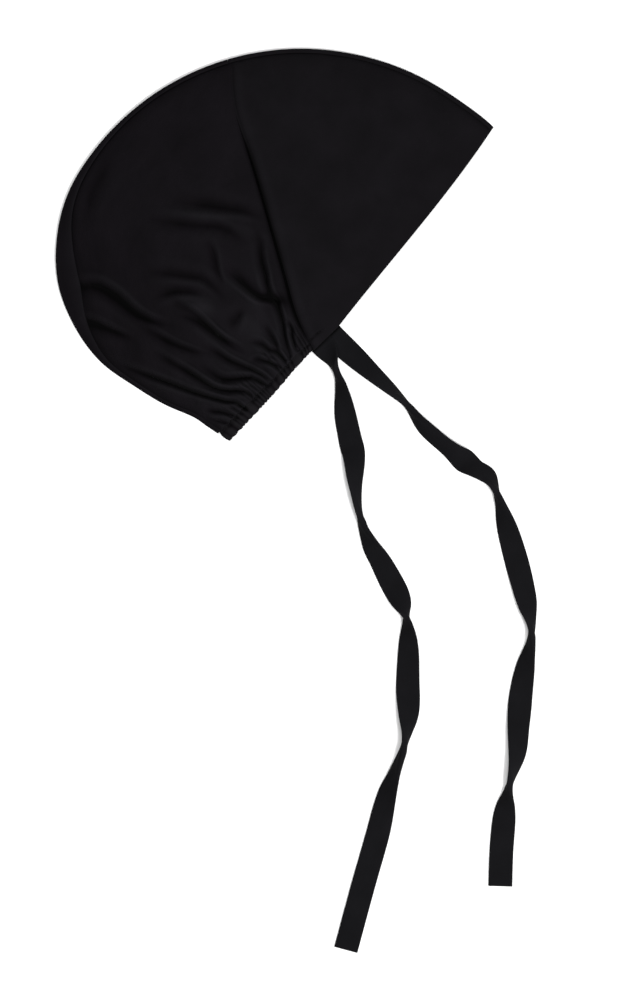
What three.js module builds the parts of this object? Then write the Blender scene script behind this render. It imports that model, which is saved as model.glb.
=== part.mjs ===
import * as THREE from 'three';

// A black jersey tie-back bonnet, folded in half along its centre seam and lying on its side.
// Millimetres, +Z up, the surface it lies on is z = 0.
// The cap is drawn in its own plan: u runs along the open mouth from the nape tip to the front
// tip, v runs from the mouth up into the crown, and (0, 0) is the middle of the mouth.

const CLOTH = 1.0; // wall of the jersey
const SEWN_GAP = 0.4; // air between two pieces that are sewn together
const FOLD_RADIUS = 1.0; // bend of the cloth's middle along the fold outline
const CAP_TURN = 49.5; // slant of the mouth on the surface, in degrees
const CAP_PLACE = { x: 50.8, y: 173.8 }; // middle of the mouth in the drawing of cap and ties
const DRAWN_MIDDLE = { x: -1.35, y: 0.25 }; // middle of the whole outline in that drawing

const NAPE_TIP = { u: -164.2, v: -1.0 };
const FRONT_BOW = 1.5; // the front edge hangs out this far between its ends
const HEM_FRONT = { u: -38.3, v: -9.0 }; // the tie corner's short hem starts here
const HEM_REAR = { u: -64.9, v: -6.5 }; // and ends here, where the elastic casing starts
const CASING_WIDTH = 8.6;
const CASING_THICK = 2.4;
const CASING_BEND = 1.8; // bend of the casing's middle at the nape tip
const CASING_LIFT = 1.2; // its upper half lies this far over the crown's own height
const CASING_RUFFLES = 22; // on each half of the nape
const RUFFLE_THICK = 0.35;
const RUFFLE_REACH = 0.6;

const PANEL_LOFT = 6.0; // height of the upper layer over its fold
const CROWN_LOFT = 10.5; // extra height in the middle of the crown
const CROWN_MIDDLE = { u: -88, v: 92, wide: 72, long: 84 };
const FOLD_RUN = 34; // the upper layer climbs to its loft over this distance from the fold
const CORNER_SINK = 0.45; // share of the loft that is lost at the tie corner
const CORNER_REACH = 46;
const PLEAT_LIFT = 2.2; // the front panel's rear edge stands this far over the crown
const PLEAT_RUN = 14;
const PLEAT_DIP = 2.0; // valley of the crown beside that edge
const TUCK = 3.0; // the crown runs this far under the panel's edge
const GATHERS = 11; // pleats that the elastic draws into each half of the crown
const GATHER_HEIGHT = 1.6;
const GATHER_RUN = 0.32; // share of the way to the outline over which they fade
const UNDER_GATHER_HEIGHT = 1.2;

// The fold outline from above: reach from the middle of the mouth, by the angle from the front tip
const OUTLINE = [
  { at: 0, reach: 163.3 },
  { at: 12, reach: 166.0 },
  { at: 25, reach: 172.0 },
  { at: 41, reach: 182.6 },
  { at: 59, reach: 197.2 },
  { at: 75, reach: 212.1 },
  { at: 91, reach: 227.0 },
  { at: 104, reach: 238.2 },
  { at: 113, reach: 244.4 },
  { at: 121, reach: 245.6 },
  { at: 130, reach: 242.2 },
  { at: 138, reach: 232.8 },
  { at: 147, reach: 217.4 },
  { at: 155, reach: 198.0 },
  { at: 162, reach: 184.2 },
  { at: 169, reach: 170.8 },
  { at: 174, reach: 167.0 },
  { at: 180, reach: 164.2 },
];

// How far inside the fold outline the centre seam runs over the upper side
const CENTRE_SEAM = [
  { at: 0, inset: 3.2 },
  { at: 90, inset: 3.2 },
  { at: 105, inset: 4.5 },
  { at: 116, inset: 8.0 },
  { at: 131, inset: 17.0 },
  { at: 141, inset: 9.0 },
  { at: 151, inset: 3.8 },
  { at: 180, inset: 3.2 },
];

// The seam between front panel and crown, from the tie corner to the fold outline
const PANEL_SEAM = [
  { u: -64.9, v: -6.5 },
  { u: -53.6, v: 20.2 },
  { u: -31.5, v: 53.2 },
  { u: 12.9, v: 119.5 },
  { u: 40.3, v: 165.0 },
  { u: 65.4, v: 191.1 },
];
const PANEL_ANGLE = 71.1; // where that seam meets the outline
const CORNER_ANGLE = 152; // where the crown's grid turns from its top side to its nape side
const NAPE_ANGLE = 177; // where the crown ends beside the casing

const SHOULDER_PLACE = 1.9; // a fold's shoulders stand this many widths from its valley
const SHOULDER_HEIGHT = 0.45; // as a share of the valley's depth

// Folds of the upper crown: each a curve through three places of the plan, a width and a depth
const FOLDS = [
  { u0: -44, v0: 171, u1: -27, v1: 125, u2: -10, v2: 88, wide: 6.0, deep: 3.4 },
  { u0: -60, v0: 166, u1: -36, v1: 112, u2: -30, v2: 62, wide: 5.5, deep: -2.2 },
  { u0: -76, v0: 168, u1: -55, v1: 139, u2: -36, v2: 92, wide: 5.0, deep: 2.2 },
  { u0: -22, v0: 92, u1: -39, v1: 70, u2: -54, v2: 48, wide: 5.0, deep: 4.6 },
  { u0: -51, v0: 117, u1: -61, v1: 102, u2: -68, v2: 88, wide: 5.0, deep: 2.0 },
  { u0: -60, v0: 91, u1: -65, v1: 67, u2: -54, v2: 38, wide: 5.5, deep: 4.4 },
  { u0: -107, v0: 142, u1: -92, v1: 119, u2: -78, v2: 78, wide: 6.0, deep: 2.2 },
  { u0: -121, v0: 117, u1: -104, v1: 109, u2: -91, v2: 92, wide: 5.0, deep: 1.8 },
  { u0: -107, v0: 101, u1: -104, v1: 72, u2: -98, v2: 22, wide: 6.0, deep: 4.4 },
  { u0: -144, v0: 171, u1: -135, v1: 145, u2: -131, v2: 106, wide: 6.5, deep: 5.0 },
  { u0: -138, v0: 93, u1: -128, v1: 70, u2: -103, v2: 20, wide: 6.0, deep: 3.6 },
  { u0: -130, v0: 36, u1: -120, v1: 25, u2: -112, v2: 12, wide: 4.5, deep: 2.4 },
  { u0: -164, v0: 141, u1: -149, v1: 84, u2: -122, v2: 13, wide: 6.0, deep: 3.8 },
  { u0: -174, v0: 108, u1: -158, v1: 57, u2: -138, v2: 11, wide: 5.0, deep: 3.0 },
];

const TIE_WIDTH = 18.5;
const TIE_THICK = 1.6; // a doubled strip
const TIE_BUNCH = 0.42; // share of its width that the strip loses where it stands on edge
const TIE_CRUSH = 2.6; // and the thickness that it gains there
const TIE_SECTIONS = 62;

// The ties from above, in the drawing of cap and ties: turn is the strip's roll about its length in
// degrees, lift the height of its lowest point over the surface
const UPPER_TIE = [
  { x: 15.0, y: 128.6, turn: 0, lift: 3.6 },
  { x: 20.0, y: 124.4, turn: 2, lift: 3.5 },
  { x: 26.4, y: 114.8, turn: 44, lift: 2.4 },
  { x: 31.2, y: 103.6, turn: 92, lift: 0 },
  { x: 34.8, y: 92.4, turn: 116, lift: 0 },
  { x: 38.4, y: 68.4, turn: 157, lift: 0 },
  { x: 42.4, y: 48.4, turn: 172, lift: 0 },
  { x: 45.2, y: 36.4, turn: 196, lift: 0 },
  { x: 46.4, y: 12.4, turn: 234, lift: 0 },
  { x: 50.4, y: -13.2, turn: 272, lift: 0 },
  { x: 58.8, y: -35.6, turn: 315, lift: 0 },
  { x: 66.4, y: -48.4, turn: 334, lift: 0 },
  { x: 74.4, y: -63.6, turn: 354, lift: 0 },
  { x: 80.8, y: -75.6, turn: 374, lift: 0 },
  { x: 84.4, y: -86.0, turn: 412, lift: 0 },
  { x: 87.0, y: -98.0, turn: 478, lift: 0 },
  { x: 88.8, y: -118.0, turn: 510, lift: 0 },
  { x: 88.4, y: -148.0, turn: 534, lift: 0 },
  { x: 88.8, y: -171.6, turn: 570, lift: 0 },
  { x: 85.2, y: -195.6, turn: 630, lift: 0 },
  { x: 76.8, y: -219.6, turn: 661, lift: 0 },
  { x: 71.2, y: -235.6, turn: 685, lift: 0 },
  { x: 63.6, y: -267.6, turn: 714, lift: 0 },
  { x: 52.4, y: -307.6, turn: 720, lift: 0 },
  { x: 39.0, y: -358.6, turn: 720, lift: 0 },
];
const UNDER_TIE = [
  { x: 21.6, y: 138.8, turn: 0, lift: 1.5 },
  { x: 27.6, y: 132.2, turn: 4, lift: 1.5 },
  { x: 39.8, y: 120.4, turn: 10, lift: 0.4 },
  { x: 58.4, y: 103.4, turn: 38, lift: 0 },
  { x: 76.0, y: 87.8, turn: 62, lift: 0 },
  { x: 87.6, y: 76.4, turn: 90, lift: 0 },
  { x: 101.2, y: 58.8, turn: 128, lift: 0 },
  { x: 125.4, y: 39.2, turn: 160, lift: 0 },
  { x: 142.4, y: 26.4, turn: 198, lift: 0 },
  { x: 153.0, y: 18.8, turn: 226, lift: 0 },
  { x: 159.6, y: 5.4, turn: 272, lift: 0 },
  { x: 167.2, y: -19.6, turn: 326, lift: 0 },
  { x: 174.0, y: -43.6, turn: 352, lift: 0 },
  { x: 180.0, y: -67.6, turn: 374, lift: 0 },
  { x: 184.0, y: -83.6, turn: 394, lift: 0 },
  { x: 187.2, y: -106.0, turn: 450, lift: 0 },
  { x: 182.0, y: -131.6, turn: 501, lift: 0 },
  { x: 178.4, y: -155.6, turn: 530, lift: 0 },
  { x: 176.4, y: -179.6, turn: 558, lift: 0 },
  { x: 175.2, y: -203.6, turn: 582, lift: 0 },
  { x: 169.2, y: -227.6, turn: 632, lift: 0 },
  { x: 166.2, y: -243.6, turn: 682, lift: 0 },
  { x: 164.4, y: -259.6, turn: 712, lift: 0 },
  { x: 163.2, y: -282.0, turn: 720, lift: 0 },
  { x: 162.4, y: -307.6, turn: 720, lift: 0 },
];

const { clamp, lerp, degToRad, radToDeg, smoothstep } = THREE.MathUtils;

// One column of a table as a smooth function of its key column
function track(rows, key, column) {
  const last = rows.length - 1;
  const slope = (row) => {
    const before = rows[Math.max(row - 1, 0)];
    const after = rows[Math.min(row + 1, last)];
    return (after[column] - before[column]) / (after[key] - before[key]);
  };
  return (at) => {
    let row = 0;
    while (row < last - 1 && rows[row + 1][key] < at) row += 1;
    const from = rows[row];
    const to = rows[row + 1];
    const span = to[key] - from[key];
    const x = clamp((at - from[key]) / span, 0, 1);
    const rise = to[column] - from[column];
    const start = slope(row) * span;
    const end = slope(row + 1) * span;
    return from[column] + x * (start + x * (3 * rise - 2 * start - end + x * (start + end - 2 * rise)));
  };
}

// Plan of the cap

const place = (u, v) => new THREE.Vector2(u, v);
const between = (from, to) => (share) => place(lerp(from.x, to.x, share), lerp(from.y, to.y, share));

const reachAt = track(OUTLINE, 'at', 'reach');
const insetAt = track(CENTRE_SEAM, 'at', 'inset');

function rimPoint(angle) {
  const reach = reachAt(angle);
  return place(reach * Math.cos(degToRad(angle)), reach * Math.sin(degToRad(angle)));
}

// A point of the fold outline, moved inwards by inset
function outline(angle, inset) {
  const along = rimPoint(angle + 0.5).sub(rimPoint(angle - 0.5)).normalize();
  return rimPoint(angle).add(place(-along.y, along.x).multiplyScalar(inset));
}

// How far a place lies inside the fold outline
function edgeDistance(u, v) {
  const pastTip = u > 0 ? 0 : 180;
  const angle = v > 0 ? radToDeg(Math.atan2(v, u)) : pastTip;
  const reach = reachAt(angle);
  const slope = (reachAt(angle + 0.5) - reachAt(angle - 0.5)) / degToRad(1);
  return Math.max((reach - Math.hypot(u, v)) * reach / Math.hypot(reach, slope), 0);
}

// The place of a drawn line that lies nearest: its distance, its share of the line and its side
function nearest(points, u, v) {
  let best = { distance: Infinity };
  for (let number = 0; number + 1 < points.length; number += 1) {
    const from = points[number];
    const du = points[number + 1].x - from.x;
    const dv = points[number + 1].y - from.y;
    const part = clamp(((u - from.x) * du + (v - from.y) * dv) / (du * du + dv * dv), 0, 1);
    const distance = Math.hypot(u - from.x - part * du, v - from.y - part * dv);
    if (distance < best.distance) {
      const side = Math.sign(du * (v - from.y) - dv * (u - from.x));
      best = { distance, share: (number + part) / (points.length - 1), side };
    }
  }
  return best;
}

const panelSeam = new THREE.SplineCurve(PANEL_SEAM.map(({ u, v }) => place(u, v)));
const panelSeamPoints = panelSeam.getPoints(40);

// Distance from the panel seam: more than 0 over the crown, less than 0 over the front panel
function seamDistance(u, v) {
  const { distance, side } = nearest(panelSeamPoints, u, v);
  return distance * side;
}

// Heights of the cloth's middle in the upper layer

const FOLD_TOP = CLOTH / 2 + 2 * FOLD_RADIUS;

function loft(u, v) {
  const edge = Math.max(edgeDistance(u, v) - CLOTH / 2 - FOLD_RADIUS, 0);
  const climb = 1 - (1 - Math.min(edge / FOLD_RUN, 1)) ** 2;
  const across = (u - CROWN_MIDDLE.u) / CROWN_MIDDLE.wide;
  const along = (v - CROWN_MIDDLE.v) / CROWN_MIDDLE.long;
  const full = PANEL_LOFT + CROWN_LOFT * Math.exp(-across * across - along * along);
  const corner = Math.hypot(u - HEM_REAR.u, v - HEM_REAR.v) / CORNER_REACH;
  return FOLD_TOP + climb * full * (1 - CORNER_SINK * Math.exp(-corner * corner));
}

function panelHeight(u, v) {
  const behind = clamp(-seamDistance(u, v) / PLEAT_RUN, 0, 1);
  return loft(u, v) + PLEAT_LIFT * (0.5 + 0.5 * Math.cos(Math.PI * behind));
}

const foldLines = FOLDS.map(({ u0, v0, u1, v1, u2, v2, wide, deep }) => {
  const control = place(2 * u1 - (u0 + u2) / 2, 2 * v1 - (v0 + v2) / 2);
  const curve = new THREE.QuadraticBezierCurve(place(u0, v0), control, place(u2, v2));
  return { wide, deep, points: curve.getPoints(10) };
});

// A drawn fold is a valley with a soft shoulder on either side, fading at both ends
function foldRelief(u, v) {
  let relief = 0;
  for (const { points, wide, deep } of foldLines) {
    const { distance, share } = nearest(points, u, v);
    const fade = smoothstep(share, -0.1, 0.35) * (1 - smoothstep(share, 0.8, 1.15));
    const valley = Math.exp(-((distance / wide) ** 2));
    const shoulder = Math.exp(-((distance / wide - SHOULDER_PLACE) ** 2));
    relief += deep * fade * (SHOULDER_HEIGHT * shoulder - valley);
  }
  return relief;
}

function crownHeight(u, v) {
  const beside = seamDistance(u, v);
  const tucked = panelHeight(u, v) - CLOTH - 1.5 * SEWN_GAP;
  const dip = PLEAT_DIP * Math.exp(-(((beside - 7) / 6) ** 2));
  const folds = foldRelief(u, v) * smoothstep(beside, 2, 14) * smoothstep(edgeDistance(u, v), 4, 22);
  return lerp(tucked, loft(u, v) - dip + folds, smoothstep(beside, 0.5, 9));
}

// Pleats that fan out from the casing, along the patch's own two shares: 0 in each valley, 1 on top
function gather(s, t) {
  return (0.5 - 0.5 * Math.cos(2 * Math.PI * GATHERS * s)) * (1 - smoothstep(t, 0.02, GATHER_RUN));
}

// Closed bodies

function body(points, triangles) {
  const middle = new THREE.Vector3();
  let volume = 0;
  for (let corner = 0; corner < triangles.length; corner += 3) {
    const [a, b, c] = triangles.slice(corner, corner + 3).map((number) => points[number]);
    volume += middle.crossVectors(b, c).dot(a);
  }
  const geometry = new THREE.BufferGeometry();
  geometry.setAttribute('position', new THREE.Float32BufferAttribute(points.flatMap((p) => p.toArray()), 3));
  geometry.setIndex(volume < 0 ? triangles.reverse() : triangles);
  geometry.computeVertexNormals();
  return geometry;
}

// A wall of cloth from its middle surface: half the thickness on either side, free edges closed
function wall({ points, faces }) {
  const normals = points.map(() => new THREE.Vector3());
  const freeEdges = new Map();
  for (const face of faces) {
    const [a, b, c] = face.map((number) => points[number]);
    const normal = b.clone().sub(a).cross(c.clone().sub(a));
    face.forEach((number, step) => {
      const next = face[(step + 1) % 3];
      normals[number].add(normal);
      if (!freeEdges.delete(`${next},${number}`)) freeEdges.set(`${number},${next}`, [number, next]);
    });
  }
  const side = (offset) => points.map((point, number) => (
    point.clone().addScaledVector(normals[number].clone().normalize(), offset)
  ));
  const other = points.length;
  const triangles = [];
  for (const [a, b, c] of faces) triangles.push(a, b, c, a + other, c + other, b + other);
  for (const [a, b] of freeEdges.values()) triangles.push(b, a, a + other, b, a + other, b + other);
  return body([...side(CLOTH / 2), ...side(-CLOTH / 2)], triangles);
}

// A sheet over a grid: pointAt gives each corner, hasCell leaves cells out, and corners that
// nameOf gives one name are one corner
function sheet(columns, rows, pointAt, hasCell = () => true, nameOf = (column, row) => `${column},${row}`) {
  const points = [];
  const numbers = new Map();
  const corner = (column, row) => {
    const name = nameOf(column, row);
    if (!numbers.has(name)) numbers.set(name, points.push(pointAt(column, row)) - 1);
    return numbers.get(name);
  };
  const faces = [];
  for (let column = 0; column < columns; column += 1) {
    for (let row = 0; row < rows; row += 1) {
      if (hasCell(column, row)) {
        const [a, b] = [corner(column, row), corner(column + 1, row)];
        const [c, d] = [corner(column + 1, row + 1), corner(column, row + 1)];
        faces.push([a, b, c], [a, c, d]);
      }
    }
  }
  return { points, faces };
}

// A solid through a row of closed sections, with flat ends
function loftSections(sections) {
  const size = sections[0].length;
  const triangles = [];
  for (let number = 0; number + 1 < sections.length; number += 1) {
    for (let corner = 0; corner < size; corner += 1) {
      const next = (corner + 1) % size;
      const [a, b] = [number * size + corner, number * size + next];
      triangles.push(a, b, b + size, a, b + size, a + size);
    }
  }
  const end = (sections.length - 1) * size;
  for (let corner = 1; corner + 1 < size; corner += 1) {
    triangles.push(0, corner + 1, corner, end, end + corner, end + corner + 1);
  }
  return body(sections.flat(), triangles);
}

// A patch of the plan: s runs along its near and far curves, t from near to far, and the first
// and last curves bow its other two sides
function patch(near, far, first, last) {
  const bow = (curve, t) => curve(t).sub(between(curve(0), curve(1))(t));
  return (s, t) => near(s).lerp(far(s), t)
    .add(bow(first, t).multiplyScalar(1 - s))
    .add(bow(last, t).multiplyScalar(s));
}

const frontLine = (share) => place(0, -4 * FRONT_BOW * share * (1 - share));
const seamLine = (share) => panelSeam.getPointAt(clamp(share, 0, 1));

// The under layer goes on round the fold and over the upper side to the centre seam

const BEND_ROWS = 4;
const OVER_ROWS = 2;
const WRAP_ROWS = BEND_ROWS + OVER_ROWS;
const BEND_INSET = CLOTH / 2 + FOLD_RADIUS;

function wrapPoint(angle, row, heightAt) {
  if (row <= BEND_ROWS) {
    const bend = Math.PI * row / BEND_ROWS;
    const { x, y } = outline(angle, BEND_INSET - FOLD_RADIUS * Math.sin(bend));
    return new THREE.Vector3(x, y, BEND_INSET - FOLD_RADIUS * Math.cos(bend));
  }
  const { x, y } = outline(angle, lerp(BEND_INSET, insetAt(angle), (row - BEND_ROWS) / OVER_ROWS));
  return new THREE.Vector3(x, y, heightAt(x, y));
}

// Front panel: a smooth sector from the tie corner's hem to the fold outline, in two halves

const PANEL_COLUMNS = 12;
const PANEL_ROWS = 14;
// Its columns crowd towards the panel seam, where the pleat stands up
const panelShare = (column) => 1 - (1 - column / PANEL_COLUMNS) ** 1.5;

function panelPlan(insetOf, edgeBack) {
  const near = between(place(HEM_FRONT.u, HEM_FRONT.v + edgeBack), place(HEM_REAR.u, HEM_REAR.v + edgeBack));
  const far = (s) => outline(s * PANEL_ANGLE, insetOf(s * PANEL_ANGLE)).add(place(0, edgeBack * (1 - s)));
  return patch(near, far, frontLine, seamLine);
}

function frontPanelUpper() {
  const plan = panelPlan((angle) => insetAt(angle) + SEWN_GAP, 0);
  return wall(sheet(PANEL_COLUMNS, PANEL_ROWS, (column, row) => {
    const { x, y } = plan(panelShare(column), row / PANEL_ROWS);
    return new THREE.Vector3(x, y, panelHeight(x, y));
  }));
}

function frontPanelUnder() {
  const edgeBack = 1;
  const plan = panelPlan(() => BEND_INSET, edgeBack);
  return wall(sheet(PANEL_COLUMNS, PANEL_ROWS + WRAP_ROWS, (column, row) => {
    const share = panelShare(column);
    if (row > PANEL_ROWS) {
      const point = wrapPoint(share * PANEL_ANGLE, row - PANEL_ROWS, panelHeight);
      point.y += edgeBack * (1 - share);
      return point;
    }
    const { x, y } = plan(share, row / PANEL_ROWS);
    return new THREE.Vector3(x, y, CLOTH / 2);
  }));
}

// Crown: gathered on the casing, sewn under the panel's edge, in two halves

const CASING_MOUTH = between(place(HEM_REAR.u - 1, HEM_REAR.v + 1), place(NAPE_TIP.u, NAPE_TIP.v));
const CASING_INNER = between(place(HEM_REAR.u + 2, HEM_REAR.v + CASING_WIDTH), outline(NAPE_ANGLE, 0));

function crownPlan(insetOf, tuck) {
  const turn = radToDeg(tuck / reachAt(PANEL_ANGLE));
  const near = (s) => CASING_INNER(s).add(place(tuck * (1 - s) - insetOf(NAPE_ANGLE) * -s, SEWN_GAP));
  const far = (s) => {
    const angle = lerp(PANEL_ANGLE - turn, CORNER_ANGLE, s);
    return outline(angle, insetOf(angle));
  };
  const last = (t) => {
    const angle = lerp(NAPE_ANGLE, CORNER_ANGLE, t);
    return outline(angle, insetOf(angle));
  };
  return patch(near, far, seamLine, last);
}

const CROWN_COLUMNS = 44;
const CROWN_ROWS = 20;

function crownUpper() {
  const plan = crownPlan((angle) => insetAt(angle) + SEWN_GAP, TUCK);
  return wall(sheet(CROWN_COLUMNS, CROWN_ROWS, (column, row) => {
    const [s, t] = [column / CROWN_COLUMNS, row / CROWN_ROWS];
    const { x, y } = plan(s, t);
    const pleat = GATHER_HEIGHT * (2 * gather(s, t) - 1 + smoothstep(t, 0.02, GATHER_RUN));
    return new THREE.Vector3(x, y, crownHeight(x, y) + pleat * smoothstep(edgeDistance(x, y), 5, 20));
  }));
}

const UNDER_COLUMNS = 33;
const UNDER_ROWS = 8;

function crownUnder() {
  const plan = crownPlan(() => BEND_INSET, -SEWN_GAP);
  const pointAt = (column, row) => {
    const [s, t] = [column / UNDER_COLUMNS, row / UNDER_ROWS];
    if (t > 1) return wrapPoint(lerp(PANEL_ANGLE + 0.2, CORNER_ANGLE, s), row - UNDER_ROWS, crownHeight);
    if (s > 1) return wrapPoint(lerp(NAPE_ANGLE, CORNER_ANGLE, t), column - UNDER_COLUMNS, crownHeight);
    const { x, y } = plan(s, t);
    return new THREE.Vector3(x, y, CLOTH / 2 + UNDER_GATHER_HEIGHT * gather(s, t));
  };
  const hasCell = (column, row) => column < UNDER_COLUMNS || row < UNDER_ROWS;
  // Past the corner the top side's wrap and the nape side's wrap meet along one line
  const nameOf = (column, row) => (
    column > UNDER_COLUMNS && row === UNDER_ROWS
      ? `${UNDER_COLUMNS},${UNDER_ROWS + column - UNDER_COLUMNS}`
      : `${column},${row}`
  );
  return wall(sheet(UNDER_COLUMNS + WRAP_ROWS, UNDER_ROWS + WRAP_ROWS, pointAt, hasCell, nameOf));
}

// Casing: one ruffled tunnel along the nape, from the upper tie corner round the nape tip and
// back under to the lower one

function napeCasing() {
  const steps = 2 * CASING_RUFFLES;
  const bendSteps = 6;
  const bendInset = CASING_BEND + CASING_THICK / 2;
  const last = 1 - bendInset / (HEM_REAR.u - NAPE_TIP.u);
  const tipTop = CASING_THICK / 2 + 2 * CASING_BEND;
  const sections = [];
  const section = (share, out, height, lean, ruffle) => {
    const mouth = CASING_MOUTH(share);
    const across = CASING_INNER(share).sub(mouth);
    mouth.addScaledVector(across, -ruffle * RUFFLE_REACH / CASING_WIDTH);
    const inner = CASING_INNER(share);
    const half = CASING_THICK / 2 + ruffle * RUFFLE_THICK;
    const normal = new THREE.Vector3(-Math.sin(lean), 0, Math.cos(lean));
    const ring = [[0, 0], [0.1, 1], [0.9, 1], [1, 0], [0.9, -1], [0.1, -1]].map(([part, rise]) => {
      const { x, y } = mouth.clone().lerp(inner, part);
      return new THREE.Vector3(x - out, y, height).addScaledVector(normal, rise * half);
    });
    sections.push(ring);
  };
  for (let step = 0; step <= steps; step += 1) {
    const share = last * step / steps;
    const { x, y } = CASING_INNER(share);
    const height = lerp(loft(x, y) + CASING_LIFT, tipTop, smoothstep(share, 0.6, 1));
    section(share, 0, height, 0, step % 2 ? 1 : -1);
  }
  for (let step = 1; step < bendSteps; step += 1) {
    const bend = Math.PI * step / bendSteps;
    section(last, CASING_BEND * Math.sin(bend), CASING_THICK / 2 + CASING_BEND * (1 + Math.cos(bend)), bend, 0);
  }
  for (let step = steps; step >= 0; step -= 1) {
    const ruffle = step % 2 ? 1 : -1;
    section(last * step / steps, 0, CASING_THICK / 2 + ruffle * RUFFLE_THICK, Math.PI, ruffle);
  }
  return loftSections(sections);
}

// Ties: doubled strips that lie on the surface and turn over as they go

function tie(rows) {
  let run = 0;
  const stations = rows.map((row, number) => {
    if (number > 0) run += Math.hypot(row.x - rows[number - 1].x, row.y - rows[number - 1].y);
    return { ...row, run };
  });
  const [xAt, yAt, turnAt, liftAt] = ['x', 'y', 'turn', 'lift'].map((column) => track(stations, 'run', column));
  const sections = [];
  for (let number = 0; number <= TIE_SECTIONS; number += 1) {
    const at = run * number / TIE_SECTIONS;
    const [x, y] = [xAt(at), yAt(at)];
    const heading = Math.atan2(yAt(at + 1) - yAt(at - 1), xAt(at + 1) - xAt(at - 1));
    const roll = degToRad(turnAt(at));
    const onEdge = Math.abs(Math.sin(roll));
    const half = TIE_WIDTH / 2 * (1 - TIE_BUNCH * onEdge ** 1.5);
    const thick = TIE_THICK / 2 + TIE_CRUSH / 2 * onEdge ** 3;
    const corner = Math.min(thick, 0.2 * half);
    const ring = [
      [half, -0.4], [half, 0.4], [half - corner, 1], [corner - half, 1],
      [-half, 0.4], [-half, -0.4], [corner - half, -1], [half - corner, -1],
    ].map(([side, rise]) => ({
      out: side * Math.cos(roll) - rise * thick * Math.sin(roll),
      up: side * Math.sin(roll) + rise * thick * Math.cos(roll),
    }));
    const floor = Math.min(...ring.map(({ up }) => up)) - Math.max(liftAt(at), 0);
    sections.push(ring.map(({ out, up }) => (
      new THREE.Vector3(x - out * Math.sin(heading), y + out * Math.cos(heading), up - floor)
    )));
  }
  return loftSections(sections);
}

// Assembly

function jersey(color) {
  return new THREE.MeshStandardMaterial({ color, roughness: 0.92, metalness: 0, side: THREE.DoubleSide });
}

function piece(name, geometry, color) {
  const mesh = new THREE.Mesh(geometry, jersey(color));
  mesh.name = name;
  return mesh;
}

const cap = new THREE.Group();
cap.rotation.z = degToRad(CAP_TURN);
cap.position.set(CAP_PLACE.x, CAP_PLACE.y, 0);
cap.add(
  piece('front_panel_upper', frontPanelUpper(), 0x1a191b),
  piece('front_panel_under', frontPanelUnder(), 0x1a191b),
  piece('crown_upper', crownUpper(), 0x18171a),
  piece('crown_under', crownUnder(), 0x18171a),
  piece('nape_casing', napeCasing(), 0x161517),
);

const bonnet = new THREE.Group();
bonnet.position.set(-DRAWN_MIDDLE.x, -DRAWN_MIDDLE.y, 0);
bonnet.add(
  cap,
  piece('tie_upper', tie(UPPER_TIE), 0x1b1a1c),
  piece('tie_under', tie(UNDER_TIE), 0x1b1a1c),
);

export default bonnet;
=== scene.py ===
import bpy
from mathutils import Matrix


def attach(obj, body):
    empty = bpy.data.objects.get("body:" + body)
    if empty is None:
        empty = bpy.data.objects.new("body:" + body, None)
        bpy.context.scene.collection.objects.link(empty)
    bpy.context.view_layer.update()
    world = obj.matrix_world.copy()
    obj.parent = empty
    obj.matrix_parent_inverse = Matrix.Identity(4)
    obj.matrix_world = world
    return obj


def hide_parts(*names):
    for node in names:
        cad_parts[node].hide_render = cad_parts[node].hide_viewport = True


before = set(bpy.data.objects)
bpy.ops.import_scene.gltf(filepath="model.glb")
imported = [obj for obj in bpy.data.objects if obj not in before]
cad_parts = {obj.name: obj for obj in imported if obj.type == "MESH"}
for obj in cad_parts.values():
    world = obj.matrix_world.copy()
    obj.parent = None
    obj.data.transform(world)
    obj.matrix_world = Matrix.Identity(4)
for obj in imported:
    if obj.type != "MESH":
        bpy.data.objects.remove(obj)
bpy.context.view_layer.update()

import math
import bmesh
import bpy
import numpy as np

# The camera looks straight down on the cap, far enough away that its heights hardly lean, and
# the picture's long side holds 800 mm of the surface.
MM = 0.001
PICTURE_LONG_SIDE = 800 * MM
PICTURE_MIDDLE = (13.35 * MM, 0.15 * MM)
CAMERA_HEIGHT = 3.2
CAMERA_REACH = 50
SENSOR = 36

camera = bpy.data.objects.new("camera", bpy.data.cameras.new("camera"))
bpy.context.collection.objects.link(camera)
camera.data.sensor_fit = "AUTO"
camera.data.sensor_width = SENSOR
camera.data.lens = SENSOR * CAMERA_HEIGHT / PICTURE_LONG_SIDE
camera.data.clip_end = CAMERA_REACH
camera.location = (*PICTURE_MIDDLE, CAMERA_HEIGHT)
bpy.context.scene.camera = camera

# A plain white floor under soft studio light: a broad softbox overhead, a nearer one low on the
# right that throws the thin shadow to the upper left, and a pale room around them.
FLOOR_SIZE = 16
FLOOR_DROP = 0.2 * MM
FLOOR_COLOUR = (0.86, 0.86, 0.86, 1)
FLOOR_ROUGHNESS = 0.9
FLOOR_SPECULAR = 0.1
ROOM_LIGHT = 0.25
SOFTBOXES = [
    {"name": "overhead", "place": (-0.2, 0.3, 2.4), "size": 2.2, "power": 39},
    {"name": "low_right", "place": (1.05, -0.95, 1.9), "size": 0.8, "power": 64},
]


def plain_material(name, colour, roughness, specular):
    material = bpy.data.materials.new(name)
    material.use_nodes = True
    shader = material.node_tree.nodes["Principled BSDF"]
    shader.inputs["Base Color"].default_value = colour
    shader.inputs["Roughness"].default_value = roughness
    shader.inputs["Specular IOR Level"].default_value = specular
    return material


def mesh_piece(name, points, faces, material):
    """A smooth mesh object at the origin, with its place in its mesh."""
    mesh = bpy.data.meshes.new(name)
    mesh.from_pydata([tuple(point) for point in points], [], [tuple(face) for face in faces])
    mesh.update()
    mesh.polygons.foreach_set("use_smooth", [True] * len(mesh.polygons))
    mesh.materials.append(material)
    piece = bpy.data.objects.new(name, mesh)
    bpy.context.collection.objects.link(piece)
    return piece


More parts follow.
